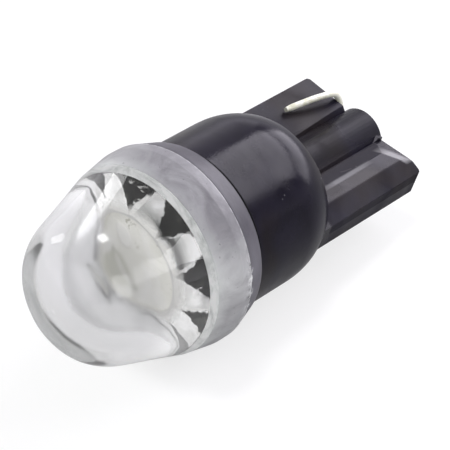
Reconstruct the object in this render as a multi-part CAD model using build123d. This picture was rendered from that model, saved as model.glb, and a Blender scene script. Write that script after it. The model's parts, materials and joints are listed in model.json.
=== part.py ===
from build123d import *
import math
import os

# A wedge-base parking light bulb, in millimetres, +Z up.
#
# Each piece is drawn in the bulb's own frame first: X across the flat wedge,
# Y along the bulb's axis from the lens to the wedge, Z out of the wedge's upper
# face, with Y = 0 at the back edge of the lens's collar. The whole bulb is then
# rolled and tipped to lie on a table as it comes to rest, on its collar and on
# the rounded shoulder of its base.

# How it lies
roll = 13.4                      # the wedge's right half hangs lower by this angle

# Moulded base: body, shoulder and neck
body_radius = 5.3
body_length = 7.4                # from the collar's back edge to the flat rear face
rear_face_radius = 4.6           # the rounded shoulder ends here
rear_edge_bevel = 0.15
body_wall = 1.1
floor_thickness = 1.8            # the wall that closes the body at the rear
collar_gap = 0.14                # the dark slit between collar and body
neck_length = 2.2                # how far the neck reaches forward into the lens
ledge_width = 0.25               # the board sits on a ledge inside the neck

# Moulded base: wedge
wedge_width = 9.5
wedge_thickness = 1.8
wedge_reach = 8.8                # beyond the body's rear face
wedge_corner_round = 0.25
rib_radius = 1.65                # the round rib along the wedge's middle
ridge_height = 0.15              # the ridge stands proud of the wedge's thickness
ridge_inner = 2.5                # the ridge's flat top, from the axis
ridge_width = 1.05
valley_depth = 0.4               # under the wedge's face, beside the rib
side_drop = 0.48                 # the outer slope falls this far under the face
ramp_length = 1.1                # the valley and the slope run out towards the end
end_bar = 0.5                    # the closed bar across the wedge's end
end_chamfer_rise = 0.15
inner_bevel = 0.26               # the flat half's edge beside the rib
parting_groove = 0.07            # the mould's parting line along each long side

# Contact wires
wire_radius = 0.2
wire_offset = 1.88               # each wire's bore, from the axis
wire_lift = 0.1                  # the bore's place off the wedge's middle plane
bore_clearance = 0.15
notch_length = 1.0               # the slot that opens the bore at the wedge's end
loop_reach = 0.28                # the folded wire stands past the wedge's end
fold_spread = 0.64               # sideways from the bore to the folded wire
fold_lift = 0.06                 # the folded wire's gap over the wedge's face
tail_length = 4.25               # the folded part that lies along the face
tail_spread = 0.68               # the cut tip lies this much further out
tail_lift = 0.1                  # the cut tip springs up a little
fold_round = 0.5

# Lens
collar_overhang = 0.34           # the collar's back edge stands outside the body
collar_flare = 0.42              # the outer band widens by this much
band_line = 1.36                 # the thin line between the collar's two bands
band_groove = 0.07
collar_crest = 0.8               # the collar's full radius at its widest
crest_length = 0.75
window_edge = 3.85               # the frosted collar ends, the clear cone starts
window_overhang = 0.49           # the lens stands this far outside the body there
cone_angle = 16.8                # from the axis
dome_overhang = 0.3              # the dome's radius is this much more than the body's
lens_length = 10.9               # from the collar's back edge to the dome's tip
dome_round = 1.6                 # where the cone turns into the dome
bore_step = 0.25                 # the lens's bore is this much inside the body
cone_wall = 0.85                 # at the window's edge, and thicker forwards
dome_wall = 2.2
fit_clearance = 0.2              # room for the adhesive between neck and bore
film_gap = 0.02

# Reflector
facet_count = 10
dark_share = 0.6                 # the share of each pitch that a tooth takes at the rim
first_tooth = 34.0               # the angle of the first tooth's middle
flange_gap = 0.05
flange_height = 0.5
skirt_step = 0.35
facet_rim_inset = 0.15           # the facets' rim, inside the flange
crown_rise = 1.1                 # the facets climb forwards this far to the crown's top
crown_edge = 0.12                # the flat edge round the hole at the top
led_room = 0.28                  # between the lamp chip's corners and the hole

# Light-emitting chip package
led_side = 3.5
led_height = 1.3
led_cup_radius = 1.4
led_cup_depth = 0.8
led_cup_slope = 0.25
die_side = 1.1
die_height = 0.2
gel_sink = 0.1                   # the gel's rim lies this far under the crown's top
gel_rise = 0.4                   # the gel's middle bulges this far above its rim
terminal_thickness = 0.15
terminal_width = 2.0
terminal_height = 0.9
terminal_foot = 0.35

# Circuit board and what is soldered under it
board_thickness = 1.0
board_clearance = 0.05
hole_clearance = 0.1
solder_radius = 0.45
solder_height = 0.45
rectifier_width = 2.4
rectifier_length = 3.4
rectifier_height = 1.3
rectifier_lift = 0.15
lead_width = 0.45
lead_thickness = 0.15
lead_reach = 0.75
lead_pitch = 1.3
chip_width = 0.8
chip_length = 1.6
chip_height = 0.6
chip_angle = 40.0                # from X, where the four chips lie by the wall
chip_wall_gap = 0.25

# What cuts something off reaches this far past it
past = 1.0

# Places along the axis that follow from the sizes above
rear_face = body_length
shoulder_end = rear_face - rear_edge_bevel
shoulder_start = shoulder_end - math.sqrt(body_radius ** 2 - rear_face_radius ** 2)
wedge_end = rear_face + wedge_reach
cavity_floor = rear_face - floor_thickness
neck_front = -neck_length
board_back = neck_front + board_thickness
led_front = neck_front - led_height
lens_bore = body_radius - bore_step
neck_radius = lens_bore - fit_clearance
cavity_radius = body_radius - body_wall
board_seat_radius = cavity_radius + ledge_width
half_thickness = wedge_thickness / 2
half_width = wedge_width / 2
wire_z = half_thickness + wire_radius + fold_lift
bore_radius = wire_radius + bore_clearance
window_edge_radius = body_radius + window_overhang
dome_radius = body_radius + dome_overhang
dome_centre = dome_radius - lens_length
cone_slope = math.tan(math.radians(cone_angle))
reflector_front = film_gap - window_edge
crown_top = reflector_front - crown_rise
reflector_hole = math.hypot(led_side, led_side) / 2 + led_room


# A solid turned about the bulb's axis from a list of corners (radius, place).
def turned(outline):
    return revolve(make_face(Polyline(*outline, close=True)), Axis.Y)


# A round rod along the axis from start to end.
def rod(radius, start, end, x=0.0, z=0.0):
    circle = Plane.XZ.offset(-start) * Pos(x, z) * Circle(radius)
    return extrude(circle, start - end)


# A prism along the axis whose section is a list of corners (x, z).
def along_axis(corners, start, end):
    section = make_face(Polyline(*[(x, start, z) for x, z in corners], close=True))
    return extrude(section, end - start, dir=(0, 1, 0))


# A prism across the wedge whose side view is a list of corners (place, z).
def across(corners, half_span):
    side = make_face(Polyline(*[(-half_span, y, z) for y, z in corners], close=True))
    return extrude(side, 2 * half_span, dir=(1, 0, 0))


# A block that starts at y_start and is centred on x and z.
def block(size_x, size_y, size_z, x, y_start, z):
    return Pos(x, y_start + size_y / 2, z) * Box(size_x, size_y, size_z)


# The same shape turned half round the bulb's axis.
def other_half(shape):
    return shape.rotate(Axis.Y, 180)


# The round body with the neck inside the lens.
# Its shoulder is a ball as wide as the body, cut off near the rear face.
def base_body():
    half_way = math.asin((shoulder_end - shoulder_start) / body_radius) / 2
    middle = (body_radius * math.cos(half_way),
              shoulder_start + body_radius * math.sin(half_way))
    straight = Polyline((rear_face_radius, shoulder_end),
                        (rear_face_radius - rear_edge_bevel, rear_face), (0, rear_face),
                        (0, neck_front), (neck_radius, neck_front), (neck_radius, collar_gap),
                        (body_radius, collar_gap), (body_radius, shoulder_start))
    arc = ThreePointArc((body_radius, shoulder_start), middle, (rear_face_radius, shoulder_end))
    return revolve(make_face([straight, arc]), Axis.Y)


# The ridged half of the wedge's upper face, with the slab under it.
def wedge_half():
    crest = half_thickness + ridge_height
    ridge_outer = ridge_inner + ridge_width
    slab = along_axis([(0, -half_thickness), (half_width, -half_thickness),
                       (half_width, crest), (0, crest)], rear_face - floor_thickness / 2,
                      wedge_end)
    valley_x = math.sqrt(rib_radius ** 2 - (half_thickness - valley_depth) ** 2)
    valley = [(0, crest + past), (0, half_thickness - valley_depth),
              (valley_x, half_thickness - valley_depth), (ridge_inner, crest),
              (ridge_inner, crest + past)]
    slope = [(ridge_outer, crest + past), (ridge_outer, crest),
             (half_width, half_thickness - side_drop),
             (half_width + past, half_thickness - side_drop), (half_width + past, crest + past)]
    foot = half_thickness - max(valley_depth, side_drop)
    bar = wedge_end - end_bar
    side_view = [(0, foot - past), (bar - ramp_length, foot - past), (bar - ramp_length, foot),
                 (bar, crest), (bar, crest + 2 * past), (0, crest + 2 * past)]
    ramp = across(side_view, half_width + 2 * past)
    for section in (valley, slope):
        slab -= along_axis(section, 0, wedge_end + past) & ramp
    fall = end_chamfer_rise * (end_bar + past) / end_bar
    lead_in = [(bar, crest), (wedge_end + past, crest - fall),
               (wedge_end + past, crest + past), (bar, crest + past)]
    return slab - across(lead_in, half_width + 2 * past)


# What the bevel takes off the flat half's upper edge beside the rib.
def flat_half_bevel():
    low = half_thickness - inner_bevel
    inner = math.sqrt(rib_radius ** 2 - low ** 2)
    corners = [(0, half_thickness + past), (0, low), (-inner, low),
               (-inner - inner_bevel, half_thickness),
               (-inner - inner_bevel, half_thickness + past)]
    return along_axis(corners, rear_face, wedge_end + past)


# The mould's parting groove along the ridged half's outer side.
def parting_line():
    place = half_thickness - side_drop
    corners = [(half_width - parting_groove, place), (half_width + past, place + past),
               (half_width + past, place), (half_width, place - parting_groove)]
    return along_axis(corners, rear_face, wedge_end - end_bar)


# The bore of the left wire, and the notch that opens it at the wedge's end.
def wire_bore():
    bore = rod(bore_radius, cavity_floor - past, wedge_end + past, -wire_offset, wire_lift)
    start = wedge_end - notch_length
    side_view = [(start, half_thickness + past), (start, half_thickness),
                 (start + notch_length / 2, wire_lift), (wedge_end + past, wire_lift),
                 (wedge_end + past, half_thickness + past)]
    slot = Pos(-wire_offset, 0, 0) * across(side_view, bore_radius)
    return bore + slot


# The black moulded base: body, neck, shoulder and wedge in one moulding.
def wedge_base():
    half = wedge_half()
    wedge = half + other_half(half)
    corners = wedge.edges().filter_by(Axis.Z).group_by(Axis.Y)[-1]
    wedge = fillet(corners, wedge_corner_round)
    wedge -= flat_half_bevel() + other_half(flat_half_bevel())
    wedge -= parting_line() + other_half(parting_line())
    wedge += rod(rib_radius, rear_face - floor_thickness / 2, wedge_end)
    body = base_body() + wedge
    body -= rod(cavity_radius, neck_front - past, cavity_floor)
    body -= rod(board_seat_radius, neck_front - past, board_back)
    return body - (wire_bore() + other_half(wire_bore()))


# The left wire: from the board through its bore, then folded over the face.
def contact_wire():
    turn = wedge_end + loop_reach
    tail_end = turn - tail_length
    fold_x = -wire_offset - fold_spread
    start = (-wire_offset, board_back - board_thickness / 2, wire_lift)
    out = (-wire_offset, turn, wire_lift)
    back = (fold_x, turn, wire_z)
    tip = (fold_x - tail_spread, tail_end, wire_z + tail_lift)
    path = FilletPolyline(start, out, back, tip, radius=fold_round)
    section = Plane(origin=start, z_dir=(0, 1, 0)) * Circle(wire_radius)
    return sweep(section, path=path)


# Where the cone meets the dome (radius, place).
def cone_and_dome_corner():
    reach = window_edge_radius + cone_slope * (window_edge + dome_centre)
    half_b = reach * cone_slope
    steep = 1 + cone_slope ** 2
    root = math.sqrt(half_b ** 2 - steep * (reach ** 2 - dome_radius ** 2))
    forward = (half_b + root) / steep
    return reach - cone_slope * forward, dome_centre - forward


# The lens's outer form: flared collar with two bands, cone and dome.
def lens_outside():
    back = body_radius + collar_overhang
    crest = body_radius + collar_crest
    band = -band_line
    outline = [(back, 0), (back + collar_flare, band),
               (back + collar_flare - band_groove, band - band_groove / 2),
               (crest, band - band_groove), (crest, band - crest_length)]
    corner = cone_and_dome_corner()
    tip = (0, dome_centre - dome_radius)
    sides = Polyline(tip, (0, 0), *outline, (window_edge_radius, -window_edge), corner)
    half_way = math.asin(corner[0] / dome_radius) / 2
    middle = (dome_radius * math.sin(half_way), dome_centre - dome_radius * math.cos(half_way))
    face = make_face([sides, ThreePointArc(corner, middle, tip)])
    point = face.vertices().sort_by_distance((corner[0], corner[1], 0))[0]
    return revolve(fillet(point, dome_round), Axis.Y)


# The hollow in the lens: a cone that runs smoothly into a ball-shaped front.
def lens_hollow():
    edge = window_edge_radius - cone_wall / math.cos(math.radians(cone_angle))
    ball = dome_radius - dome_wall
    behind = -window_edge - dome_centre
    lean = math.acos(ball / math.hypot(edge, behind)) - math.atan2(behind, edge)
    touch = (ball * math.cos(lean), dome_centre - ball * math.sin(lean))
    half_way = (lean + math.pi / 2) / 2
    middle = (ball * math.cos(half_way), dome_centre - ball * math.sin(half_way))
    tip = (0, dome_centre - ball)
    sides = Polyline(tip, (0, -window_edge), (edge, -window_edge), touch)
    return revolve(make_face([sides, ThreePointArc(touch, middle, tip)]), Axis.Y)


# The clear cap, which is thickest at the dome and bored to fit over the neck.
def lens():
    return lens_outside() - rod(lens_bore, past, -window_edge) - lens_hollow()


# The film of adhesive that holds the lens on the base's neck.
def adhesive_ring():
    inner = neck_radius + film_gap
    outer = lens_bore - film_gap
    end = neck_front + 2 * film_gap
    return rod(outer, -collar_gap, end) - rod(inner, 0, end - past)


# The angle of the middle of one tooth, from X towards Z.
def tooth_angle(number):
    return math.radians(first_tooth + 360 * number / facet_count)


# A point on a circle about the axis.
def on_ring(radius, angle, place):
    return (radius * math.cos(angle), place, radius * math.sin(angle))


# A flat face through a closed list of corners.
def flat_face(points):
    return Face(Polyline(*points, close=True).wire())


# The crown that the reflector's facets form.
# Teeth climb from the rim to a point at the top, and between them wide facets
# join the rim to the top, so the rim has two corners for each tooth.
def facet_crown(rim_radius, top_radius):
    half_tooth = math.pi / facet_count * dark_share
    rim = []
    inner = []
    for number in range(facet_count):
        middle = tooth_angle(number)
        rim.append(on_ring(rim_radius, middle - half_tooth, reflector_front))
        rim.append(on_ring(rim_radius, middle + half_tooth, reflector_front))
        inner.append(on_ring(top_radius, middle, crown_top))
    faces = [flat_face(rim), flat_face(inner)]
    for number in range(facet_count):
        following = (number + 1) % facet_count
        faces.append(flat_face([rim[2 * number], rim[2 * number + 1], inner[number]]))
        faces.append(flat_face([rim[2 * number + 1], rim[2 * following], inner[following],
                                inner[number]]))
    return Solid(Shell(faces))


# The bright faceted crown round the lamp chip, seated on the neck.
def reflector():
    flange = lens_bore - flange_gap
    flange_back = reflector_front + flange_height
    ring = turned([(0, reflector_front), (flange, reflector_front), (flange, flange_back),
                   (flange - skirt_step, flange_back + skirt_step),
                   (flange - skirt_step, neck_front), (0, neck_front)])
    top_radius = (reflector_hole + crown_edge) / math.cos(math.pi / facet_count)
    crown = facet_crown(flange - facet_rim_inset, top_radius)
    return ring + crown - rod(reflector_hole, crown_top - past, neck_front + past)


# The round board, with a hole for each wire.
def circuit_board():
    board = rod(board_seat_radius - board_clearance, neck_front, board_back)
    hole = rod(wire_radius + hole_clearance, neck_front - past, board_back + past,
               -wire_offset, wire_lift)
    return board - hole - other_half(hole)


# The round cup in the front of the chip package, carried on forwards by grow.
def led_cup(grow=0.0):
    floor = led_front + led_cup_depth
    outline = [(0, floor), (led_cup_radius - led_cup_slope, floor), (led_cup_radius, led_front)]
    cup = turned(outline + [(0, led_front)])
    if grow > 0:
        cup += rod(led_cup_radius, led_front - grow, led_front)
    return cup


# The white moulded package of the lamp chip.
def led_housing():
    package = block(led_side, led_height, led_side, 0, led_front, 0)
    package = chamfer(package.edges().filter_by(Axis.Y), terminal_thickness)
    return package - led_cup(grow=past)


# The light-emitting die on the cup's floor.
def led_die():
    floor = led_front + led_cup_depth
    return block(die_side, die_height, die_side, 0, floor - die_height, 0)


# The pale gel that fills the cup and the crown's hole, and bulges at the top.
def led_gel():
    rim = crown_top + gel_sink
    radius = reflector_hole - film_gap
    ball = (radius ** 2 + gel_rise ** 2) / (2 * gel_rise)
    bulge = Pos(0, rim - gel_rise + ball, 0) * Sphere(ball) & rod(radius, rim - gel_rise, rim)
    return led_cup() + rod(radius, rim, led_front) + bulge - led_die()


# The left terminal: a foot on the board and an upright on the package's side.
def led_terminal():
    side = led_side / 2
    foot = block(terminal_foot + terminal_thickness, terminal_thickness, terminal_width,
                 -side - (terminal_foot + terminal_thickness) / 2,
                 neck_front - terminal_thickness, 0)
    upright = block(terminal_thickness, terminal_height, terminal_width,
                    -side - terminal_thickness / 2, neck_front - terminal_height, 0)
    return foot + upright


# The cone of solder round the left wire, under the board.
def solder_joint():
    hole = wire_radius + film_gap
    tip = board_back + solder_height
    cone = turned([(hole, board_back), (solder_radius, board_back), (hole, tip)])
    return Pos(-wire_offset, 0, wire_lift) * cone


# The bridge rectifier's moulded body, just clear of the board.
def rectifier_body():
    body = block(rectifier_width, rectifier_height, rectifier_length, 0,
                 board_back + rectifier_lift, 0)
    return chamfer(body.faces().sort_by(Axis.Y)[-1].edges(), rectifier_lift)


# The rectifier's four bent leads, two on each side.
def rectifier_leads():
    edge = rectifier_length / 2
    middle = board_back + rectifier_lift + rectifier_height / 2
    knee = edge + lead_reach / 2
    leads = []
    for side in (1, -1):
        for x in (-lead_pitch / 2, lead_pitch / 2):
            arm = block(lead_width, lead_thickness, knee - edge, x,
                        middle - lead_thickness / 2, side * (edge + knee) / 2)
            leg = block(lead_width, middle + lead_thickness / 2 - board_back, lead_thickness,
                        x, board_back, side * (knee - lead_thickness / 2))
            foot = block(lead_width, lead_thickness, edge + lead_reach - knee, x, board_back,
                         side * (knee + edge + lead_reach) / 2)
            leads.append(arm + leg + foot)
    return Compound(leads)


# A small chip part under the board, in one of the four free corners.
def chip_part(side_x, side_z):
    reach = cavity_radius - chip_wall_gap - math.hypot(chip_width, chip_length) / 2
    x = reach * math.cos(math.radians(chip_angle))
    z = reach * math.sin(math.radians(chip_angle))
    chip = block(chip_width, chip_height, chip_length, side_x * x, board_back, side_z * z)
    return chamfer(chip.edges().filter_by(Axis.Z), film_gap)


# The angle that the wedge's end dips when collar and shoulder touch the table.
def rest_tilt():
    crest = body_radius + collar_crest
    run = shoulder_start + band_line + band_groove
    return math.degrees(math.atan2(crest, run)
                        - math.asin(body_radius / math.hypot(run, crest)))


# The shape rolled and tipped as the bulb lies.
def laid_down(shape):
    return shape.rotate(Axis.Y, roll).rotate(Axis.X, -rest_tilt())


pieces = {
    "wedge_base": wedge_base(),
    "lens": lens(),
    "adhesive_ring": adhesive_ring(),
    "reflector": reflector(),
    "circuit_board": circuit_board(),
    "led_housing": led_housing(),
    "led_gel": led_gel(),
    "led_die": led_die(),
    "led_terminal_left": led_terminal(),
    "led_terminal_right": other_half(led_terminal()),
    "bridge_rectifier": rectifier_body(),
    "rectifier_leads": rectifier_leads(),
    "resistor_left": chip_part(-1, 1),
    "resistor_right": chip_part(1, -1),
    "capacitor": chip_part(1, 1),
    "protection_diode": chip_part(-1, -1),
    "contact_wire_left": contact_wire(),
    "contact_wire_right": other_half(contact_wire()),
    "solder_joint_left": solder_joint(),
    "solder_joint_right": other_half(solder_joint()),
}

laid = {name: laid_down(shape) for name, shape in pieces.items()}
bounds = Compound(list(laid.values())).bounding_box()
middle_of_base = Vector(bounds.center().X, bounds.center().Y, bounds.min.Z)

os.makedirs("parts", exist_ok=True)
for name, shape in laid.items():
    export_step(Pos(-middle_of_base) * shape, f"parts/{name}.step")
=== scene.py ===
import json
import math

import bmesh
import bpy
from mathutils import Matrix, Vector, noise


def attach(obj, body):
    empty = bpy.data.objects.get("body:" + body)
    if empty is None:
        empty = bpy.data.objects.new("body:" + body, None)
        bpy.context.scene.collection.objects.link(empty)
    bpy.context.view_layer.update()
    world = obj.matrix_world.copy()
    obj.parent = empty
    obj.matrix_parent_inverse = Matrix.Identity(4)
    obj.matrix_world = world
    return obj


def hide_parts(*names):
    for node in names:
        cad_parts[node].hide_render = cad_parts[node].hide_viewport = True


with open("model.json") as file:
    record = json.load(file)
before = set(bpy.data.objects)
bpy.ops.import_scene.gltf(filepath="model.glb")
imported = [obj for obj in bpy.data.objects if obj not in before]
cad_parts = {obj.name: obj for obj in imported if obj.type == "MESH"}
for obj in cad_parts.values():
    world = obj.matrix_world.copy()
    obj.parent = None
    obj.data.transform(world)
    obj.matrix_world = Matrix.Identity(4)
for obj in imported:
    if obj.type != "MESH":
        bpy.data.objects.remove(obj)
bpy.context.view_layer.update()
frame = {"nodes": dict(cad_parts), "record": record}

mm = 0.001
tiny = 1e-6              # mm, shorter than this is nothing
print("frame loaded:", len(frame["nodes"]), "nodes")

# The bulb's own frame: x across the wedge, y along the axis from the collar's back edge
# towards the wedge, z out of the wedge's upper face
bulb = {
    "mountPlace": 2.509,    # mm from the collar's back edge to the stated body mount
    "roll": 13.4,           # degrees, the wedge's right half hangs lower
}


def bulbFrame():
    mount = next(m for m in frame["record"]["mounts"] if m["name"] == "body_cylinder")
    along = Vector(mount["axis"]).normalized()
    origin = Vector(mount["pos_m"]) - along * bulb["mountPlace"] * mm
    level = Vector((1, 0, 0))
    upright = level.cross(along)
    turn = math.radians(bulb["roll"])
    across = level * math.cos(turn) - upright * math.sin(turn)
    out = level * math.sin(turn) + upright * math.cos(turn)
    turned = Matrix((across, along, out)).transposed().to_4x4()
    return Matrix.Translation(origin) @ turned


bulbPlace = bulbFrame()
bulbOrigin = bulbPlace.to_translation()
acrossAxis, alongAxis, outAxis = (bulbPlace.to_3x3().col[number].copy() for number in range(3))


# Camera
view = {
    "aim": (1.4283, -1.1819, 6.2892),   # mm, the point in the middle of the picture
    "distance": 132.0,                  # mm
    "azimuth": 40.585,
    "elevation": 39.937,
    "lean": 0.6,                        # degrees, the camera leans to its left
    "lens": 185.57, "sensor": 36.0,     # mm
    "near": 0.01, "far": 10.0,          # m
}


# the way from the bulb towards an azimuth and elevation in degrees
def wayTo(azimuth, elevation):
    azimuth, elevation = math.radians(azimuth), math.radians(elevation)
    return Vector((math.sin(azimuth) * math.cos(elevation),
                   -math.cos(azimuth) * math.cos(elevation), math.sin(elevation)))


def makeCamera():
    data = bpy.data.cameras.new("camera")
    data.lens = view["lens"]
    data.sensor_width = view["sensor"]
    data.clip_start = view["near"]
    data.clip_end = view["far"]
    camera = bpy.data.objects.new("camera", data)
    bpy.context.scene.collection.objects.link(camera)
    back = wayTo(view["azimuth"], view["elevation"])
    camera.location = Vector(view["aim"]) * mm + back * view["distance"] * mm
    lean = Matrix.Rotation(math.radians(view["lean"]), 3, "Z")
    camera.rotation_euler = (back.to_track_quat("Z", "Y").to_matrix() @ lean).to_euler()
    bpy.context.scene.camera = camera


makeCamera()
print("camera ready")


# Shader maths: a socket that can be added, multiplied and so on
class Value:
    def __init__(self, tree, socket):
        self.tree = tree
        self.socket = socket

    def maths(self, operation, first, second):
        node = self.tree.nodes.new("ShaderNodeMath")
        node.operation = operation
        for slot, item in zip(node.inputs, (first, second)):
            if isinstance(item, Value):
                self.tree.links.new(item.socket, slot)
            else:
                slot.default_value = item
        return Value(self.tree, node.outputs[0])

    def __add__(self, other):
        return self.maths("ADD", self, other)

    def __radd__(self, other):
        return self.maths("ADD", other, self)

    def __sub__(self, other):
        return self.maths("SUBTRACT", self, other)

    def __rsub__(self, other):
        return self.maths("SUBTRACT", other, self)

    def __mul__(self, other):
        return self.maths("MULTIPLY", self, other)

    def __rmul__(self, other):
        return self.maths("MULTIPLY", other, self)

    def __pow__(self, other):
        return self.maths("POWER", self, other)

    def __rpow__(self, other):
        return self.maths("POWER", other, self)

    def __mod__(self, other):
        return self.maths("FLOORED_MODULO", self, other)

    def __rmod__(self, other):
        return self.maths("FLOORED_MODULO", other, self)


# Nodes under construction: node() adds any node, its settings first, then its sockets
class Nodes:
    def __init__(self, tree):
        self.tree = tree

    # links a value to a socket, or sets a number, a vector or a colour there
    def put(self, slot, item):
        if isinstance(item, Value):
            self.tree.links.new(item.socket, slot)
        elif slot.type == "RGBA":
            slot.default_value = (*item, 1)
        else:
            slot.default_value = item

    def node(self, kind, settings=None, sockets=None, output=0):
        made = self.tree.nodes.new("ShaderNode" + kind)
        for name, item in (settings or {}).items():
            setattr(made, name, item)
        for name, item in (sockets or {}).items():
            self.put(made.inputs[name], item)
        return Value(self.tree, made.outputs[output])

    # a Math node that no operator stands for
    def maths(self, operation, *items):
        return self.node("Math", {"operation": operation}, dict(enumerate(items)))

    def place(self):
        return self.node("TexCoord", output="Object")

    # how far a point lies from the collar's back edge along one of the bulb's axes, in mm
    def along(self, place, axis):
        moved = self.node("VectorMath", {"operation": "SUBTRACT"}, {0: place, 1: bulbOrigin})
        length = self.node("VectorMath", {"operation": "DOT_PRODUCT"}, {0: moved, 1: axis},
                           output="Value")
        return length * (1 / mm)

    def noise(self, place, scale, detail=3.0, roughness=0.5, distortion=0.0):
        return self.node("TexNoise", {}, {"Vector": place, "Scale": scale, "Detail": detail,
                                          "Roughness": roughness, "Distortion": distortion},
                         output="Fac")

    def mix(self, share, first, second, blend="MIX"):
        return self.node("Mix", {"data_type": "RGBA", "blend_type": blend},
                         {0: share, 6: first, 7: second}, output=2)

    # rises from 0 at low to 1 at high
    def between(self, value, low, high):
        return self.node("MapRange", {"clamp": True},
                         {"Value": value, "From Min": low, "From Max": high})

    # 1 along a band with soft borders
    def band(self, value, start, full, fading, end):
        return self.between(value, start, full) * (1 - self.between(value, fading, end))

    def bump(self, height, strength, depth):
        return self.node("Bump", {}, {"Height": height, "Strength": strength,
                                      "Distance": depth * mm})


# A material under construction
class Finish(Nodes):
    def __init__(self, name):
        self.material = bpy.data.materials.new(name)
        self.material.use_nodes = True
        super().__init__(self.material.node_tree)
        self.surface = self.tree.nodes["Principled BSDF"]

    # gives the surface its colour and so on
    def give(self, **items):
        for name, item in items.items():
            self.put(self.surface.inputs[name.replace("_", " ")], item)


# a pattern from 0 to 1 becomes one that swings to both sides of zero, so wide in all
def sway(pattern, width):
    return (pattern - 0.5) * width


# how far a point lies from a spot, seen along the bulb's axis
def distanceTo(spot, x, z):
    away, out = x - spot[0], z - spot[1]
    return (away * away + out * out) ** 0.5


# Mesh helpers
def addPiece(name, mesh, finishes, replaced):
    piece = bpy.data.objects.new(name, mesh)
    bpy.context.scene.collection.objects.link(piece)
    for finish in finishes:
        mesh.materials.append(finish)
    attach(piece, "root")
    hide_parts(replaced)
    return piece


# a corner of a profile rounded off to a radius
def rounded(before, corner, after, radius, steps=4):
    here = Vector(corner)
    inward = (Vector(before) - here).normalized()
    outward = (Vector(after) - here).normalized()
    half = inward.angle(outward) / 2
    reach = radius / math.tan(half)
    first = here + inward * reach
    last = here + outward * reach
    middle = here + (inward + outward).normalized() * radius / math.sin(half)
    points = []
    for number in range(steps + 1):
        spoke = (first - middle).lerp(last - middle, number / steps).normalized()
        points.append(tuple(middle + spoke * radius))
    return points


# a closed profile with some of its corners rounded: (radius, place, easing)
def softened(corners):
    points = []
    for number, (radius, place, easing) in enumerate(corners):
        if easing > 0:
            before = corners[number - 1][:2]
            after = corners[(number + 1) % len(corners)][:2]
            points += rounded(before, (radius, place), after, easing)
        else:
            points.append((radius, place))
    return points


# points added along a profile's long runs, so that the surface can be uneven there
def divided(profile, longest):
    points = []
    for number, here in enumerate(profile):
        there = profile[(number + 1) % len(profile)]
        points.append(here)
        onAxis = here[0] < tiny and there[0] < tiny
        parts = 1 if onAxis else math.ceil(math.dist(here, there) / longest)
        for part in range(1, parts):
            share = part / parts
            points.append(tuple(a + (b - a) * share for a, b in zip(here, there)))
    return points


# adds a closed profile of (radius, place) in mm, turned about the bulb's axis
def addTurned(shape, profile, finishOf, uneven=None, steps=192):
    rings = []
    for radius, place in profile:
        ring = []
        for number in range(steps if radius > tiny else 1):
            angle = 2 * math.pi * number / steps
            spot = Vector((radius * math.cos(angle), place, radius * math.sin(angle)))
            if uneven:
                spot = uneven(spot)
            ring.append(shape.verts.new(spot * mm))
        rings.append(ring)
    for here, there in zip(rings, rings[1:] + rings[:1]):
        for turn in range(steps):
            following = (turn + 1) % steps
            corners = [here[turn % len(here)], here[following % len(here)],
                       there[following % len(there)], there[turn % len(there)]]
            corners = list(dict.fromkeys(corners))
            if len(corners) > 2:
                face = shape.faces.new(corners)
                face.material_index = finishOf(face)


def asMesh(name, shape):
    mesh = bpy.data.meshes.new(name)
    shape.to_mesh(mesh)
    shape.free()
    return mesh


# rounded where its faces meet at less than so many degrees
def smoothed(mesh, sharp):
    mesh.shade_smooth()
    mesh.set_sharp_from_angle(angle=math.radians(sharp))
    return mesh


# a shape drawn in the bulb's own frame becomes a mesh in the frame of the part
def finished(name, shape, sharp=35.0):
    bmesh.ops.recalc_face_normals(shape, faces=shape.faces[:])
    bmesh.ops.transform(shape, matrix=bulbPlace, verts=shape.verts[:])
    return smoothed(asMesh(name, shape), sharp)


# turned half round the bulb's axis, as the wedge's lower face is to its upper one
def turnedOver(ring):
    return [(-x, y, -z) for x, y, z in ring]


# Lens, in mm, with degrees for its cone's angle
lens = {
    "back": 5.64, "flare": 0.42, "bandLine": 1.36, "bandGroove": 0.07,
    "crest": 6.095, "crestLength": 0.75,
    "windowEdge": 3.85, "windowRadius": 5.79, "coneAngle": 16.8,
    "dome": 5.6, "length": 10.9, "domeRound": 0.88,
    "bore": 5.05, "coneWall": 0.85, "domeWall": 2.2,
    "boreEasing": 0.03, "backEasing": 0.06, "bandEasing": 0.04, "grooveEasing": 0.03,
    "crestEasing": 0.5, "windowEasing": 0.02,
    "seam": 0.015,                      # between the clear part and the collar behind it
    "rimDepth": 0.01,                   # mm, faces so near the window's plane are its edge
    "ballSteps": 36, "blendSteps": 8,
    "frontRun": 0.22, "collarRun": 0.3,    # mm, the longest straight run of each profile
    # how uneven the moulded surface is: depth, mid depth, then length and share of two waves
    "wave": 0.035, "waveDepth": 0.5, "longWave": (2.3, 0.7), "shortWave": (0.9, 0.12),
    "waveCentre": 5.3, "waveSquash": 0.8,  # the waves sink towards this place on the axis
    "waveStart": 0.3, "waveFade": 0.8,     # mm before the window's edge
}


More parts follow.
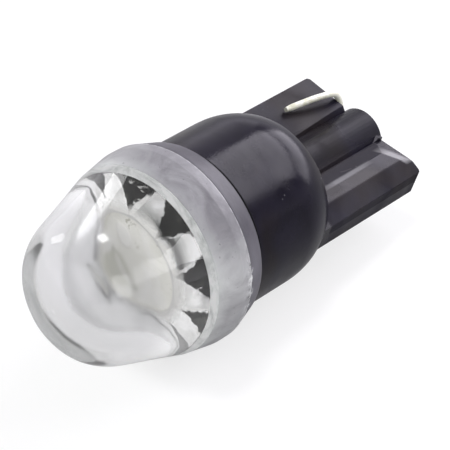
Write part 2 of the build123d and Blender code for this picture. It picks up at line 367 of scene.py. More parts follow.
# the outer cone, rounded into the dome, up to the dome's tip
def outerFront():
    slope = math.tan(math.radians(lens["coneAngle"]))
    dome, easing, steps = lens["dome"], lens["domeRound"], lens["ballSteps"]
    centre = dome - lens["length"]
    # where the cone's line meets the dome's circle
    reach = lens["windowRadius"] + slope * (lens["windowEdge"] + centre)
    steepness = 1 + slope ** 2
    root = math.sqrt((reach * slope) ** 2 - steepness * (reach ** 2 - dome ** 2))
    forward = (reach * slope + root) / steepness
    corner = (reach - slope * forward, centre - forward)
    edgeAngle = math.atan2(corner[0], forward)
    arc = []
    for number in range(steps + 1):
        angle = edgeAngle * (1 - number / steps)
        arc.append((dome * math.sin(angle), centre - dome * math.cos(angle)))
    # a curve from the cone to the dome takes the place of the corner
    start = (corner[0] + slope * easing, corner[1] + easing)
    kept = [point for point in arc if math.dist(point, corner) > easing]
    blend = []
    for number in range(lens["blendSteps"]):
        share = number / lens["blendSteps"]
        first = Vector(start).lerp(Vector(corner), share)
        second = Vector(corner).lerp(Vector(kept[0]), share)
        blend.append(tuple(first.lerp(second, share)))
    return blend + kept[:-1] + [(0, -lens["length"])]


# the hollow, from its tip back to the window's edge
def hollow():
    edge = lens["windowRadius"] - lens["coneWall"] / math.cos(math.radians(lens["coneAngle"]))
    ball, steps = lens["dome"] - lens["domeWall"], lens["ballSteps"]
    centre = lens["dome"] - lens["length"]
    behind = -lens["windowEdge"] - centre
    lean = math.acos(ball / math.hypot(edge, behind)) - math.atan2(behind, edge)
    points = [(0, centre - ball)]
    for number in range(1, steps + 1):
        angle = math.pi / 2 + (lean - math.pi / 2) * number / steps
        points.append((ball * math.cos(angle), centre - ball * math.sin(angle)))
    return points + [(edge, -lens["windowEdge"])]


# the moulded surface sinks a little here and there, never outwards
def wavy(spot):
    before = -lens["windowEdge"] - lens["waveStart"] - spot.y
    if math.hypot(spot.x, spot.z) < tiny or before < 0:
        return spot
    fade = min(1.0, before / lens["waveFade"])
    depth = lens["waveDepth"]
    for length, share in (lens["longWave"], lens["shortWave"]):
        depth += noise.noise(spot / length) * share
    inward = Vector((spot.x, (spot.y + lens["waveCentre"]) * lens["waveSquash"], spot.z))
    return spot - inward.normalized() * depth * lens["wave"] * fade


clear = {
    "tint": (0.955, 0.955, 0.96), "roughness": 0.01,
    "front": (0.71, 0.71, 0.72), "frontRoughness": 0.12,   # towards the dome's front
    "frontPlace": (6.6, 8.2), "cloud": (260.0, 3.0, 0.5, 0.5), "uneven": 1.2,
    "passing": (0.98, 0.98, 0.98),                         # light that falls through it
    "bending": 1.49,
}


# The clear plastic is greyer and slightly matt towards the dome's front. Light falls
# through it on what is inside.
def clearPlastic():
    finish = Finish("clear plastic")
    place = finish.place()
    forward = finish.along(place, alongAxis) * -1
    cloud = finish.noise(place, *clear["cloud"])
    front = finish.between(forward + cloud * clear["uneven"], *clear["frontPlace"])
    finish.give(Base_Color=finish.mix(front, clear["tint"], clear["front"]),
                Roughness=front * clear["frontRoughness"] + clear["roughness"],
                Transmission_Weight=1.0, IOR=clear["bending"])
    shadow = finish.node("LightPath", output="Is Shadow Ray")
    diffuse = finish.node("LightPath", output="Is Diffuse Ray")
    passing = finish.node("BsdfTransparent", {}, {"Color": clear["passing"]})
    both = finish.node("MixShader", {}, {0: finish.maths("MAXIMUM", shadow, diffuse),
                                         1: Value(finish.tree, finish.surface.outputs[0]),
                                         2: passing})
    finish.put(finish.tree.nodes["Material Output"].inputs["Surface"], both)
    return finish.material


frost = {
    "outer": (0.095, 0.09, 0.11), "outerPale": (0.16, 0.155, 0.18),      # the rear band
    "inner": (0.36, 0.355, 0.375), "innerPale": (0.62, 0.625, 0.635),    # the front band
    "edge": (0.74, 0.76, 0.75),       # painted light: a pale glow along the window's edge
    "streak": (0.80, 0.81, 0.82),     # a thin bright line where the bands meet
    "shade": (0.50, 0.49, 0.515),     # painted shade on the upper side
    "darkMark": (0.10, 0.10, 0.105), "paleMark": (0.85, 0.86, 0.86), "speck": (0.16, 0.16, 0.17),
    # patterns: scale, detail, roughness, distortion
    "cloud": (380.0, 5.0, 0.62, 0.7), "fine": (2400.0, 4.0, 0.6),
    "marks": (1500.0, 4.0, 0.7, 1.2), "specks": (3800.0, 2.0, 0.5),
    # limits in these patterns
    "cloudy": (0.36, 0.64), "broken": (0.42, 0.56), "specked": (0.70, 0.76),
    "markedDark": (0.54, 0.61), "markedPale": (0.38, 0.46),
    # mm along the axis, from the window's edge or from the line between the bands
    "paintedGlowReach": (-0.65, 0.35), "paintedGlowUneven": 1.1, "paintedGlow": 0.85, "specksShare": 0.45,
    "bandReach": (-0.04, 0.02), "lineReach": (-0.16, -0.11, -0.07, -0.03),
    "markPlace": 0.1, "markReach": (0.05, 0.4),
    # mm from the axis, and how far the side leans: shares of x and z
    "markSide": (2.6, 4.2), "markLean": (0.9, -0.35),
    "upperSide": (4.4, 6.4), "upperLean": (0.15, 1.0), "upperUneven": 1.6,
    "roughness": 0.24, "roughnessUneven": 0.25, "specular": 0.35,
    "bump": 0.25, "bumpDepth": 0.04, "cloudHeight": 2,
}


def frostedPlastic():
    finish = Finish("frosted plastic")
    place = finish.place()
    behind = finish.along(place, alongAxis)
    x = finish.along(place, acrossAxis)
    z = finish.along(place, outAxis)
    cloud = finish.noise(place, *frost["cloud"])
    fine = finish.noise(place, *frost["fine"])
    cloudy = finish.between(cloud, *frost["cloudy"])
    outer = finish.mix(cloudy, frost["outer"], frost["outerPale"])
    inner = finish.mix(cloudy, frost["inner"], frost["innerPale"])
    fromEdge = behind + lens["windowEdge"]
    # painted light: a pale glow along the window's edge
    paintedGlow = 1 - finish.between(fromEdge - cloud * frost["paintedGlowUneven"], *frost["paintedGlowReach"])
    inner = finish.mix(paintedGlow * frost["paintedGlow"], inner, frost["edge"])
    fromLine = behind + lens["bandLine"]
    colour = finish.mix(finish.between(fromLine, *frost["bandReach"]), inner, outer)
    # the line is broken here and there
    line = finish.band(fromLine, *frost["lineReach"]) * finish.between(fine, *frost["broken"])
    colour = finish.mix(line, colour, frost["streak"])
    # bits of trapped adhesive and scuffs along the line between the bands, on one side
    distance = finish.maths("ABSOLUTE", fromLine + frost["markPlace"])
    near = 1 - finish.between(distance, *frost["markReach"])
    acrossShare, upShare = frost["markLean"]
    near = near * finish.between(x * acrossShare + z * upShare, *frost["markSide"])
    marks = finish.noise(place, *frost["marks"])
    colour = finish.mix(near * finish.between(marks, *frost["markedDark"]), colour,
                        frost["darkMark"])
    colour = finish.mix(near * (1 - finish.between(marks, *frost["markedPale"])), colour,
                        frost["paleMark"])
    speck = finish.between(finish.noise(place, *frost["specks"]), *frost["specked"])
    colour = finish.mix(speck * frost["specksShare"], colour, frost["speck"])
    # painted shade: the upper side is darkened
    acrossShare, upShare = frost["upperLean"]
    height = x * acrossShare + z * upShare + cloud * frost["upperUneven"]
    upperShade = finish.between(height, *frost["upperSide"])
    colour = finish.mix(upperShade, colour, frost["shade"], "MULTIPLY")
    finish.give(Base_Color=colour, IOR=clear["bending"], Specular_IOR_Level=frost["specular"],
                Roughness=cloud * frost["roughnessUneven"] + frost["roughness"],
                Normal=finish.bump(fine + cloud * frost["cloudHeight"], frost["bump"],
                                   frost["bumpDepth"]))
    return finish.material


rim = {
    "pale": (0.96, 0.97, 0.965), "grey": (0.62, 0.64, 0.63),
    "streaks": (620.0, 4.0, 0.65, 1.0), "streaked": (0.36, 0.58),
    "paintedGlow": 0.14,                # painted glow: emission that brightens it
    "roughness": 0.35, "roughnessUneven": 0.2, "bump": 0.3, "bumpDepth": 0.05,
}


# the window's edge, where the clear front meets the frosted collar, is pale and streaked, with a
# painted glow standing in for the light it catches
def rimFinish():
    finish = Finish("window edge")
    streaks = finish.between(finish.noise(finish.place(), *rim["streaks"]), *rim["streaked"])
    colour = finish.mix(streaks, rim["grey"], rim["pale"])
    finish.give(Base_Color=colour, Roughness=streaks * rim["roughnessUneven"] + rim["roughness"],
                IOR=clear["bending"], Emission_Color=colour, Emission_Strength=rim["paintedGlow"],
                Normal=finish.bump(streaks, rim["bump"], rim["bumpDepth"]))
    return finish.material


def makeLens():
    finishes = {"clear": clearPlastic(), "frosted": frostedPlastic(), "rim": rimFinish()}
    number = {name: place for place, name in enumerate(finishes)}
    edge = -lens["windowEdge"]
    rimStart = (edge - lens["rimDepth"]) * mm

    def frontFinish(face):
        onRim = min(corner.co.y for corner in face.verts) > rimStart
        return number["rim" if onRim else "clear"]

    shape = bmesh.new()
    front = [(lens["windowRadius"], edge)] + outerFront() + hollow()
    addTurned(shape, divided(front, lens["frontRun"]), frontFinish, wavy)
    back, crest, flared = lens["back"], lens["crest"], lens["back"] + lens["flare"]
    band, groove, seam = -lens["bandLine"], lens["bandGroove"], edge + lens["seam"]
    collar = softened([
        (lens["bore"], 0, lens["boreEasing"]),
        (back, 0, lens["backEasing"]),
        (flared, band, lens["bandEasing"]),
        (flared - groove, band - groove / 2, 0),
        (crest, band - groove, lens["grooveEasing"]),
        (crest, band - lens["crestLength"], lens["crestEasing"]),
        (lens["windowRadius"], seam, lens["windowEasing"]),
        (lens["bore"], seam, 0)])
    addTurned(shape, divided(collar, lens["collarRun"]), lambda face: number["frosted"])
    mesh = finished("lens_cap", shape)
    addPiece("lens_cap", mesh, finishes.values(), "lens")


makeLens()
print("lens ready")


# Lamp chip: pale gel, with what lies in it and on it
gel = {
    "cream": (0.90, 0.895, 0.83), "pale": (0.97, 0.965, 0.93), "green": (0.66, 0.66, 0.56),
    "line": (0.46, 0.46, 0.38), "crumb": (0.36, 0.35, 0.27),
    "swirl": (330.0, 3.0, 0.5, 1.4), "swirled": (0.40, 0.68),
    "crumbs": (2600.0, 3.0, 0.6, 1.0), "crumbed": (0.66, 0.71),
    "fine": (900.0, 3.0, 0.5, 0.8),
    # mm: place across and up, and border; how uneven the border is
    "spot": (-1.15, -1.35), "spotBorder": (0.9775, 1.15),   # a greenish patch, darker than the cream
    "bead": (-1.1, 1.15), "beadBorder": (0.48, 0.60),       # a bright bead on top
    "spotUneven": 0.7, "beadUneven": 0.9, "streakUneven": 0.6,
    # a glassy streak, as left by the filling needle: half its length and width, turn in degrees
    "streak": (-0.70, -0.95), "streakSize": (1.5, 0.26), "streakTurn": -29.7,
    "streakBorder": (0.70, 0.82, 0.92, 1.06), "streakInside": (0.55, 0.75),
    # how much of each colour shows
    "spotShare": 0.85, "beadShare": 0.8, "streakShare": 0.8, "insideShare": 0.7, "crumbShare": 0.6,
    "paintedGlow": 0.16,                                           # painted glow: emission that brightens the gel
    "roughness": 0.22, "bending": 1.41, "bump": 0.6, "bumpDepth": 0.10, "swirlHeight": 2,
}


def gelFinish():
    finish = Finish("pale gel")
    place = finish.place()
    x = finish.along(place, acrossAxis)
    z = finish.along(place, outAxis)
    swirl = finish.noise(place, *gel["swirl"])
    away = distanceTo(gel["spot"], x, z) + sway(swirl, gel["spotUneven"])
    spot = 1 - finish.between(away, *gel["spotBorder"])
    away = distanceTo(gel["bead"], x, z) + sway(swirl, gel["beadUneven"])
    bead = 1 - finish.between(away, *gel["beadBorder"])
    turn = math.radians(gel["streakTurn"])
    across, up = x - gel["streak"][0], z - gel["streak"][1]
    length = (across * math.cos(turn) + up * math.sin(turn)) * (1 / gel["streakSize"][0])
    width = (up * math.cos(turn) - across * math.sin(turn)) * (1 / gel["streakSize"][1])
    ring = distanceTo((0, 0), length, width) + sway(swirl, gel["streakUneven"])
    streak = finish.band(ring, *gel["streakBorder"])
    inside = 1 - finish.between(ring, *gel["streakInside"])
    colour = finish.mix(finish.between(swirl, *gel["swirled"]), gel["cream"], gel["pale"])
    colour = finish.mix(spot * gel["spotShare"], colour, gel["green"])
    colour = finish.mix(bead * gel["beadShare"], colour, gel["pale"])
    colour = finish.mix(streak * gel["streakShare"], colour, gel["line"])
    colour = finish.mix(inside * gel["insideShare"], colour, gel["pale"])
    crumbs = finish.between(finish.noise(place, *gel["crumbs"]), *gel["crumbed"])
    colour = finish.mix(crumbs * gel["crumbShare"], colour, gel["crumb"])
    fine = finish.noise(place, *gel["fine"])
    height = swirl * gel["swirlHeight"] + fine + bead + streak
    # the emission is a painted glow
    finish.give(Base_Color=colour, Roughness=gel["roughness"], IOR=gel["bending"],
                Emission_Color=colour, Emission_Strength=gel["paintedGlow"],
                Normal=finish.bump(height, gel["bump"], gel["bumpDepth"]))
    return finish.material


# Reflector
mirror = {
    "bright": (0.93, 0.93, 0.92), "dull": (0.70, 0.70, 0.68),
    # dark and smoke colour the painted dark reflections
    "dark": (0.016, 0.016, 0.014), "smoke": (0.08, 0.078, 0.068),
    "cloud": (700.0, 4.0, 0.6, 0.8), "dulled": (0.35, 0.6), "smoked": (0.52, 0.70),
    "glints": (900.0, 3.0, 0.6, 2.2), "glinting": (0.64, 0.67), "glintShare": 0.8,
    "dents": (520.0, 2.0), "bump": 0.4, "bumpDepth": 0.1, "roughness": 0.10,
    "rim": 4.6, "film": (3.0, 3.5), "filmUneven": 0.9,    # mm from the axis; the gel's film
    "filmRoughness": 0.15,
    "darkReflections": [   # painted dark reflections shaped as teeth: angle about the axis, half its width at the rim, how near the axis it reaches
        (-3, 8, 3.2), (31, 13, 2.95), (73, 12, 2.9), (112, 14, 3.0), (147, 7, 3.3),
        (178, 9, 3.1), (214, 9, 3.1), (250, 9, 3.1), (286, 9, 3.1), (322, 8, 3.2)],
    "ragged": (1500.0, 4.0, 0.65, 1.0), "raggedWidth": 9, "reflectionBorder": (-0.5, 0.5),  # degrees
}


# Chrome with painted dark reflections shaped as teeth, with ragged borders and painted glints in
# them. The lamp's gel laps over the crown's top.
def reflectorChrome():
    finish = Finish("reflector chrome")
    place = finish.place()
    x = finish.along(place, acrossAxis)
    z = finish.along(place, outAxis)
    angle = finish.maths("ARCTAN2", z, x) * math.degrees(1)
    radius = distanceTo((0, 0), x, z)
    cloud = finish.noise(place, *mirror["cloud"])
    ragged = finish.noise(place, *mirror["ragged"])
    darkReflections = None
    for middle, width, reach in mirror["darkReflections"]:
        away = (angle + (180 + 360 - middle)) % 360 - 180    # -180 to 180 from its middle
        darkReflection = ((radius - reach) * (width / (mirror["rim"] - reach))
                 - finish.maths("ABSOLUTE", away))
        darkReflections = finish.maths("MAXIMUM", darkReflections, darkReflection) if darkReflections else darkReflection
    darkReflections = finish.between(darkReflections + sway(ragged, mirror["raggedWidth"]),
                           *mirror["reflectionBorder"])
    glint = finish.between(finish.noise(place, *mirror["glints"]), *mirror["glinting"])
    bright = finish.mix(finish.between(cloud, *mirror["dulled"]), mirror["dull"],
                        mirror["bright"])
    dark = finish.mix(finish.between(cloud, *mirror["smoked"]), mirror["dark"], mirror["smoke"])
    # painted dark reflections, broken by painted glints
    colour = finish.mix(darkReflections * (1 - glint * mirror["glintShare"]), bright, dark)
    film = 1 - finish.between(radius + sway(cloud, mirror["filmUneven"]), *mirror["film"])
    dents = finish.noise(place, *mirror["dents"])
    finish.give(Base_Color=finish.mix(film, colour, gel["pale"]), Metallic=1 - film,
                Roughness=film * mirror["filmRoughness"] + mirror["roughness"],
                Normal=finish.bump(dents, mirror["bump"], mirror["bumpDepth"]))
    return finish.material


# Pieces that keep their solids: name of the finish, colour, roughness, metallic
plain = {
    "adhesive_ring": ("adhesive", (0.62, 0.62, 0.60), 0.3),
    "circuit_board": ("board", (0.85, 0.85, 0.83), 0.5),
    "led_housing": ("lamp package", (0.88, 0.88, 0.84), 0.45),
    "led_die": ("lamp die", (0.2, 0.2, 0.2), 0.4),
    "led_terminal_left": ("terminal", (0.75, 0.75, 0.74), 0.3, 1.0),
    "bridge_rectifier": ("rectifier body", (0.02, 0.02, 0.022), 0.5),
    "rectifier_leads": ("rectifier leads", (0.7, 0.7, 0.7), 0.35, 1.0),
    "resistor_left": ("resistor", (0.03, 0.03, 0.03), 0.4),
    "capacitor": ("capacitor", (0.45, 0.33, 0.2), 0.45),
    "protection_diode": ("diode", (0.03, 0.03, 0.032), 0.45),
    "solder_joint_left": ("solder", (0.6, 0.6, 0.6), 0.3, 1.0),
}
plainCloud = {"scale": 3000.0, "dark": 0.82, "uneven": 0.15, "bump": 0.15, "bumpDepth": 0.02}


def plainFinish(name, colour, roughness, metallic=0.0):
    finish = Finish(name)
    cloud = finish.noise(finish.place(), plainCloud["scale"])
    dark = tuple(part * plainCloud["dark"] for part in colour)
    finish.give(Base_Color=finish.mix(cloud, dark, colour),
                Roughness=cloud * plainCloud["uneven"] + roughness, Metallic=metallic,
                Normal=finish.bump(cloud, plainCloud["bump"], plainCloud["bumpDepth"]))
    return finish.material


def finishNodes():
    finishes = {node: plainFinish(*settings) for node, settings in plain.items()}
    finishes["reflector"] = reflectorChrome()
    finishes["led_gel"] = gelFinish()
    for node in ("led_terminal", "resistor", "solder_joint"):
        finishes[node + "_right"] = finishes[node + "_left"]
    for node, finish in finishes.items():
        for holder in frame["nodes"][node].material_slots:
            holder.material = finish


finishNodes()
print("inner pieces ready")


# Contact wires: each leaves its bore, turns at the wedge's end and lies on the face
wire = {
    "radius": 0.2, "steps": 20, "crease": 50.0,    # mm, corners round it, degrees
    "bore": (-1.88, 0.1),                # where it runs through the base, across and up
    "start": -1.7, "straight": (2.0, 8.0, 13.0), "turn": 16.46,    # mm along the axis
    # from the bore's line and the turn's end: across, along, up
    "bend": [(0, -0.9, 0), (0, -0.35, 0.02), (-0.06, -0.03, 0.18), (-0.28, 0, 0.58),
             (-0.52, -0.08, 0.94)],
    # on the face: across, along, and how far it is above where it lies flat
    "tail": [(-2.56, 15.95, 0.28), (-2.78, 15.0, 0.30), (-3.00, 13.9, 0.25), (-3.34, 12.3, 0.0)],
    "lift": 1.17,
    "pinched": (0.72, 0.93),             # how flat the cutter left the tip and the ring before it
}
tin = {
    "pale": (0.95, 0.95, 0.87), "shade": (0.78, 0.77, 0.62),
    "streaks": (1800.0, 4.0, 0.6, 0.5), "streaked": (0.40, 0.62),
    "metallic": 0.15, "roughness": 0.28, "roughnessUneven": 0.2, "bump": 0.15, "bumpDepth": 0.02,
}


def tinnedWire():
    finish = Finish("tinned wire")
    streak = finish.noise(finish.place(), *tin["streaks"])
    colour = finish.mix(finish.between(streak, *tin["streaked"]), tin["shade"], tin["pale"])
    finish.give(Base_Color=colour, Metallic=tin["metallic"],
                Roughness=streak * tin["roughnessUneven"] + tin["roughness"],
                Normal=finish.bump(streak, tin["bump"], tin["bumpDepth"]))
    return finish.material


def wirePath():
    x, z = wire["bore"]
    route = [(x, place, z) for place in (wire["start"], *wire["straight"])]
    route += [(x + across, wire["turn"] + along, z + up) for across, along, up in wire["bend"]]
    route += [(across, along, wire["lift"] + up) for across, along, up in wire["tail"]]
    curve = bpy.data.curves.new("wire route", "CURVE")
    curve.dimensions = "3D"
    spline = curve.splines.new("NURBS")
    spline.points.add(len(route) - 1)
    for point, spot in zip(spline.points, route):
        point.co = (*spot, 1)
    spline.order_u = 3
    spline.use_endpoint_u = True
    spline.resolution_u = 10
    holder = bpy.data.objects.new("wire route", curve)
    mesh = bpy.data.meshes.new_from_object(holder)
    path = [vertex.co.copy() for vertex in mesh.vertices]
    bpy.data.objects.remove(holder)
    bpy.data.curves.remove(curve)
    bpy.data.meshes.remove(mesh)
    return path


def makeWire(name, node, finish, onLowerFace):
    path = wirePath()
    shape = bmesh.new()
    rings = []
    side = Vector((1, 0, 0))
    flatness = [1.0] * (len(path) - len(wire["pinched"])) + list(reversed(wire["pinched"]))
    for number, spot in enumerate(path):
        ahead = (path[min(number + 1, len(path) - 1)] - path[max(number - 1, 0)]).normalized()
        side = (side - ahead * side.dot(ahead)).normalized()
        other = ahead.cross(side) * flatness[number]
        ring = []
        for step in range(wire["steps"]):
            angle = 2 * math.pi * step / wire["steps"]
            off = side * math.cos(angle) + other * math.sin(angle)
            ring.append(shape.verts.new((spot + off * wire["radius"]) * mm))
        rings.append(ring)
    for here, there in zip(rings, rings[1:]):
        for step in range(wire["steps"]):
            following = (step + 1) % wire["steps"]
            shape.faces.new((here[step], here[following], there[following], there[step]))
    shape.faces.new(rings[0])
    shape.faces.new(rings[-1])
    if onLowerFace:
        bmesh.ops.rotate(shape, matrix=Matrix.Rotation(math.pi, 3, "Y"), verts=shape.verts[:])
    addPiece(name, finished(name, shape, wire["crease"]), [finish], node)


tinned = tinnedWire()
makeWire("bent_wire_left", "contact_wire_left", tinned, False)
makeWire("bent_wire_right", "contact_wire_right", tinned, True)
print("wires ready")


# Base: the moulding with its edges eased, as they leave the mould
moulding = {
    "easing": 0.06, "shortest": 0.3,     # mm: how far an edge is eased, and from which length on
    "easingSteps": 2, "easingProfile": 0.5,
    "sharpest": 9.0, "crease": 50.0,     # degrees: which edges are eased, which stay sharp
    "flat": 0.5,                         # degrees: facets nearer to flat are joined
    "doubled": (1e-4, 2e-3),             # mm: nearer points are merged, before and after cuts
    # sections (x, z) that fill the moulding up: start, end, corners, all in mm
    "filled": [
        (6.5, 15.7, [(1.0, 0.3), (1.46, 0.80), (2.5, 1.05), (2.7, 0.3)]),
        (6.5, 15.7, [(3.3, 0.3), (3.3, 1.0), (3.55, 1.05), (4.75, 0.66), (4.75, 0.3)]),
        (15.18, 16.2, [(-2.25, 0.42), (-1.50, 0.42), (-1.52, 0.64), (-1.78, 0.90),
                       (-2.25, 0.90)]),
    ],
    # the ridge's end is cut at a slant: from and to (x, along), and how it falls
    "slant": ((1.5, 14.34), (3.85, 15.55)), "slantTop": 1.055, "fall": 13.0,
    "beyond": 17.0, "above": 2.5,        # mm, outside the moulding
    # the outer corner of the wedge's end falls away as the slope beside it does
    "corner": (14.3, 17.0, [(3.55, 1.05), (4.9, 0.611), (4.9, 2.0), (3.55, 2.0)]),
}
base = {
    "colour": (0.0045, 0.0034, 0.0092), "bright": (0.0105, 0.0086, 0.0190),
    "brown": (0.0095, 0.0055, 0.0058),
    "dust": (0.17, 0.165, 0.18),         # few and small pale specks in patches
    "slopeLight": (0.030, 0.028, 0.036),       # painted light on the ridge's inner slope
    "stripeHighlight": (0.150, 0.147, 0.160),      # painted highlight: a streak along the ridge's edge
    "glare": (0.30, 0.295, 0.31),        # painted highlight on the ridge's slanting end
    "gap": (0.0015, 0.0015, 0.002),      # painted shade: a dark ring just behind the collar
    # patterns: scale, detail, roughness, distortion, and the limits in them
    "cloud": (420.0, 4.0, 0.6), "clouded": (0.35, 0.7),
    "wide": (170.0, 2.0, 0.5, 0.4), "browned": (0.52, 0.66),
    "patches": (600.0, 2.0), "patched": (0.60, 0.70), "specks": 2300.0, "specked": (0.06, 0.17),
    "handled": (240.0, 3.0, 0.55, 0.8), "handledDull": (0.42, 0.60), "grain": (9000.0, 2.0),
    # mm across the wedge and along the axis
    "wedgeStart": (7.4, 7.6), "innerSlope": (1.5, 1.7, 2.40, 2.62), "outerSlope": (3.45, 3.60),
    "flatHalf": (-1.7, -1.4), "gapEnd": (0.39, 0.44),
    "stripeStart": (2.46, 2.56), "stripeEnd": (2.70, 2.80), "stripeAlong": (8.6, 10.2, 12.6, 13.8),
    "glareStart": (0.10, 0.24), "glareEnd": (0.47, 0.77), "glareAcross": (1.9, 2.7, 3.7, 4.0),
    "stripeUneven": 0.15, "glareUneven": 0.3,
    # how much of each shows: a share, or what the cloud adds and the least share
    "brownShare": 0.8, "dustShare": 0.7, "glareShare": 0.9,
    "slopeLightShare": (0.6, 0.5), "stripeShare": (0.7, 0.4),
    # roughness of the smoothest and the handled places, and what each place adds
    "smooth": 0.15, "dull": 0.28, "dustDull": 0.3, "gapDull": 0.7, "flatDull": 0.18,
    "slopeDull": 0.38,
    "specular": 0.16, "bump": 0.25, "bumpDepth": 0.02, "cloudHeight": 3, "dustHeight": 2,
}


# the ways along the slanting cut at the ridge's end and across it, towards the wedge's end
def slantWays():
    (x1, y1), (x2, y2) = moulding["slant"]
    ahead = Vector((x2 - x1, y2 - y1)).normalized()
    return ahead, Vector((-ahead.y, ahead.x))


def basePlastic():
    finish = Finish("base plastic")
    place = finish.place()
    cloud = finish.noise(place, *base["cloud"])
    grain = finish.noise(place, *base["grain"])
    wide = finish.noise(place, *base["wide"])
    colour = finish.mix(finish.between(cloud, *base["clouded"]), base["colour"], base["bright"])
    brown = finish.between(wide, *base["browned"]) * base["brownShare"]
    colour = finish.mix(brown, colour, base["brown"])
    dots = finish.node("TexVoronoi", {"feature": "F1"}, {"Vector": place, "Scale": base["specks"]},
                       output="Distance")
    patch = finish.between(finish.noise(place, *base["patches"]), *base["patched"])
    dust = (1 - finish.between(dots, *base["specked"])) * patch
    colour = finish.mix(dust * base["dustShare"], colour, base["dust"])
    # both faces of the wedge are alike, turned half round the axis
    behind = finish.along(place, alongAxis)
    z = finish.along(place, outAxis)
    x = finish.along(place, acrossAxis) * finish.maths("SIGN", z)
    wedge = finish.between(behind, *base["wedgeStart"])
    # painted light on the ridge's inner slope
    inner = finish.band(x, *base["innerSlope"]) * wedge
    added, least = base["slopeLightShare"]
    colour = finish.mix(inner * (cloud * added + least), colour, base["slopeLight"])
    # painted highlight: a pale streak along the ridge's edge
    stripeHighlight = (finish.between(x + cloud * base["stripeUneven"], *base["stripeStart"])
             * (1 - finish.between(x, *base["stripeEnd"]))
             * finish.band(behind, *base["stripeAlong"]))
    added, least = base["stripeShare"]
    colour = finish.mix(stripeHighlight * (cloud * added + least), colour, base["stripeHighlight"])
    # painted highlight at the ridge's slanting end
    slantX, slantPlace = moulding["slant"][0]
    across = slantWays()[1]
    past = (x - slantX) * across.x + (behind - slantPlace) * across.y
    endGlare = (finish.between(past + cloud * base["glareUneven"], *base["glareStart"])
              * (1 - finish.between(past, *base["glareEnd"]))
              * finish.band(x, *base["glareAcross"]))
    colour = finish.mix(endGlare * base["glareShare"], colour, base["glare"])
    # painted shade: a dark ring on the body just behind the collar
    gap = 1 - finish.between(behind, *base["gapEnd"])
    colour = finish.mix(gap, colour, base["gap"])
    # handling leaves the surface duller here and there, with soft borders
    handled = finish.between(finish.noise(place, *base["handled"]), *base["handledDull"])
    flatHalf = (1 - finish.between(x, *base["flatHalf"])) * wedge
    outerSlope = finish.between(x, *base["outerSlope"]) * wedge
    dull = (handled * (base["dull"] - base["smooth"]) + base["smooth"] + dust * base["dustDull"]
            + gap * base["gapDull"] + flatHalf * base["flatDull"] + outerSlope * base["slopeDull"])
    height = grain + cloud * base["cloudHeight"] + dust * base["dustHeight"]
    finish.give(Base_Color=colour, Roughness=dull, Specular_IOR_Level=base["specular"],
                Normal=finish.bump(height, base["bump"], base["bumpDepth"]))
    return finish.material


# adds a closed block between two rings of corners given in mm
def addBlock(shape, low, high):
    bottom = [shape.verts.new(Vector(corner) * mm) for corner in low]
    top = [shape.verts.new(Vector(corner) * mm) for corner in high]
    shape.faces.new(bottom)
    shape.faces.new(top)
    for number in range(len(low)):
        following = (number + 1) % len(low)
        shape.faces.new((bottom[number], bottom[following], top[following], top[number]))


# a section's corners at both of its ends
def ends(start, end, corners):
    return [(x, start, z) for x, z in corners], [(x, end, z) for x, z in corners]


# blocks on the wedge's upper face, and the same on its lower one
def pairOfBlocks(name, blocks):
    shape = bmesh.new()
    for low, high in blocks:
        addBlock(shape, low, high)
        addBlock(shape, turnedOver(low), turnedOver(high))
    return finished(name, shape)


# the cut at the ridge's end, from its slanting plane upwards
def slantBlock():
    (x1, y1), (x2, y2) = moulding["slant"]
    ahead, across = slantWays()
    past, beyond = x2 + ahead.x, moulding["beyond"]
    fall = math.tan(math.radians(moulding["fall"]))
    low = []
    for x, y in ((x1, y1), (past, y2 + ahead.y), (past, beyond), (x1, beyond)):
        away = (Vector((x, y)) - Vector((x1, y1))).dot(across)
        low.append((x, y, moulding["slantTop"] - away * fall))
    return low, [(x, y, moulding["above"]) for x, y, z in low]


def combined(mesh, tool, operation):
    holder = bpy.data.objects.new("moulding", mesh)
    cutter = bpy.data.objects.new("tool", tool)
    for item in (holder, cutter):
        bpy.context.scene.collection.objects.link(item)
    step = holder.modifiers.new("cut", "BOOLEAN")
    step.operation = operation
    step.solver = "EXACT"
    step.object = cutter
    graph = bpy.context.evaluated_depsgraph_get()
    result = bpy.data.meshes.new_from_object(holder.evaluated_get(graph))
    for item in (holder, cutter):
        bpy.data.objects.remove(item)
    return result


# doubled points merged and flat facets joined
def cleaned(mesh, apart):
    shape = bmesh.new()
    shape.from_mesh(mesh)
    bmesh.ops.remove_doubles(shape, verts=shape.verts[:], dist=apart * mm)
    bmesh.ops.dissolve_limit(shape, angle_limit=math.radians(moulding["flat"]),
                             verts=shape.verts[:], edges=shape.edges[:])
    return shape


def makeBase():
    before, after = moulding["doubled"]
    mesh = asMesh("plain moulding", cleaned(frame["nodes"]["wedge_base"].data, before))
    filling = pairOfBlocks("filling", [ends(*section) for section in moulding["filled"]])
    mesh = combined(mesh, filling, "UNION")
    for name, block in (("slant", slantBlock()), ("corner", ends(*moulding["corner"]))):
        mesh = combined(mesh, pairOfBlocks(name, [block]), "DIFFERENCE")
    shape = cleaned(mesh, after)
    sharp = math.radians(moulding["sharpest"])
    eased = [edge for edge in shape.edges if len(edge.link_faces) == 2
             and edge.calc_length() > moulding["shortest"] * mm
             and edge.calc_face_angle() > sharp]
    bmesh.ops.bevel(shape, geom=eased, offset=moulding["easing"] * mm, affect="EDGES",
                    segments=moulding["easingSteps"], profile=moulding["easingProfile"],
                    clamp_overlap=True)
    mesh = smoothed(asMesh("moulded_base", shape), moulding["crease"])
    piece = addPiece("moulded_base", mesh, [basePlastic()], "wedge_base")
    weighted = piece.modifiers.new("flat faces stay flat", "WEIGHTED_NORMAL")
    weighted.keep_sharp = True


makeBase()
print("base ready")


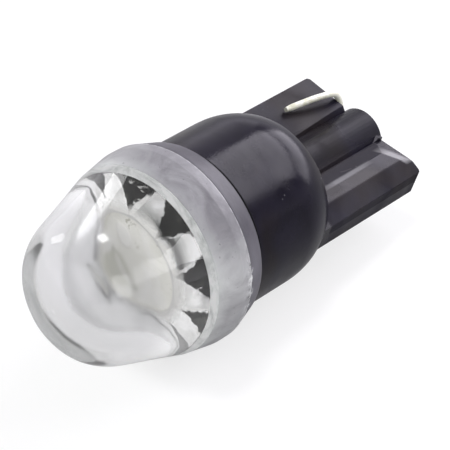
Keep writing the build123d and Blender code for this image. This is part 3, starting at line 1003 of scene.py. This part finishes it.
# Floor and light
white = (1, 1, 1)
violet = (0.95, 0.915, 1.0)
studio = {
    "floorColour": (0.34, 0.34, 0.345), "floorGlow": 0.68, "mirroredGlow": 0.16,
    "floorReach": 3.0, "floorRoughness": 0.9,
    "worldStrength": 0.34, "mirroredTint": (0.95, 0.92, 1.0),
    "overhead": {"mirrored": 0.20, "throughGlass": 0.84},    # how bright the room above looks
    "overheadFrom": (0.05, 0.45),                            # where it begins, as a height
    "lamps": [   # azimuth, elevation, distance, width, height, power, colour
        ("top", -108, 81, 0.35, 0.08, 0.08, 0.36, white),
        ("back", 172, 37, 0.35, 0.35, 0.12, 0.84, violet),
        ("left", -72, 24, 0.35, 0.08, 0.10, 0.12, white),
        ("front", 60, 30, 0.40, 0.20, 0.20, 0.52, white),
        ("low back", 176, 14, 0.35, 0.30, 0.12, 0.40, violet),
        ("back left", -140, 24, 0.35, 0.13, 0.20, 0.06, violet),
    ],
}


def makeFloor():
    mesh = bpy.data.meshes.new("floor")
    reach = studio["floorReach"]
    corners = [(-reach, -reach, 0), (reach, -reach, 0), (reach, reach, 0), (-reach, reach, 0)]
    mesh.from_pydata(corners, [], [(0, 1, 2, 3)])
    floor = bpy.data.objects.new("floor", mesh)
    bpy.context.scene.collection.objects.link(floor)
    finish = Finish("floor")
    camera = finish.node("LightPath", output="Is Camera Ray")
    glass = finish.node("LightPath", output="Is Transmission Ray")
    direct = finish.maths("MAXIMUM", camera, glass)      # seen by itself or through glass
    mirrored = finish.node("LightPath", output="Is Glossy Ray") * (1 - direct)
    finish.give(Base_Color=studio["floorColour"], Roughness=studio["floorRoughness"],
                Specular_IOR_Level=0.0, Emission_Color=white,
                Emission_Strength=(direct * studio["floorGlow"]
                                   + mirrored * studio["mirroredGlow"]))
    mesh.materials.append(finish.material)


def addLamp(name, azimuth, elevation, distance, width, height, power, colour):
    data = bpy.data.lights.new(name, "AREA")
    data.shape = "RECTANGLE"
    data.size = width
    data.size_y = height
    data.energy = power
    data.color = colour
    lamp = bpy.data.objects.new(name, data)
    bpy.context.scene.collection.objects.link(lamp)
    back = wayTo(azimuth, elevation)
    lamp.location = back * distance
    lamp.rotation_euler = back.to_track_quat("Z", "Y").to_euler()


# white all round at the horizon; mirrors and glass see a greyer room overhead
def makeWorld():
    world = bpy.data.worlds.new("studio")
    bpy.context.scene.world = world
    world.use_nodes = True
    sky = Nodes(world.node_tree)
    direction = sky.node("TexCoord", output="Generated")
    height = sky.node("SeparateXYZ", {}, {0: direction}, output="Z")
    high = sky.between(height, *studio["overheadFrom"])
    camera = sky.node("LightPath", output="Is Camera Ray")
    glass = sky.node("LightPath", output="Is Transmission Ray")
    glossy = sky.node("LightPath", output="Is Glossy Ray") * (1 - glass)
    plainRay = (1 - camera) * (1 - glass) * (1 - glossy)
    overhead = studio["overhead"]
    strength = (camera + glass * (1 - camera) * (1 - high * (1 - overhead["throughGlass"]))
                + glossy * (1 - camera) * (1 - high * (1 - overhead["mirrored"]))
                + plainRay * studio["worldStrength"])
    background = sky.tree.nodes["Background"]
    sky.put(background.inputs["Color"],
            sky.mix(glossy * (1 - camera), white, studio["mirroredTint"]))
    sky.put(background.inputs["Strength"], strength)


makeFloor()
makeWorld()
for lamp in studio["lamps"]:
    addLamp(*lamp)
bpy.context.scene.view_settings.view_transform = "Standard"
print("studio ready")
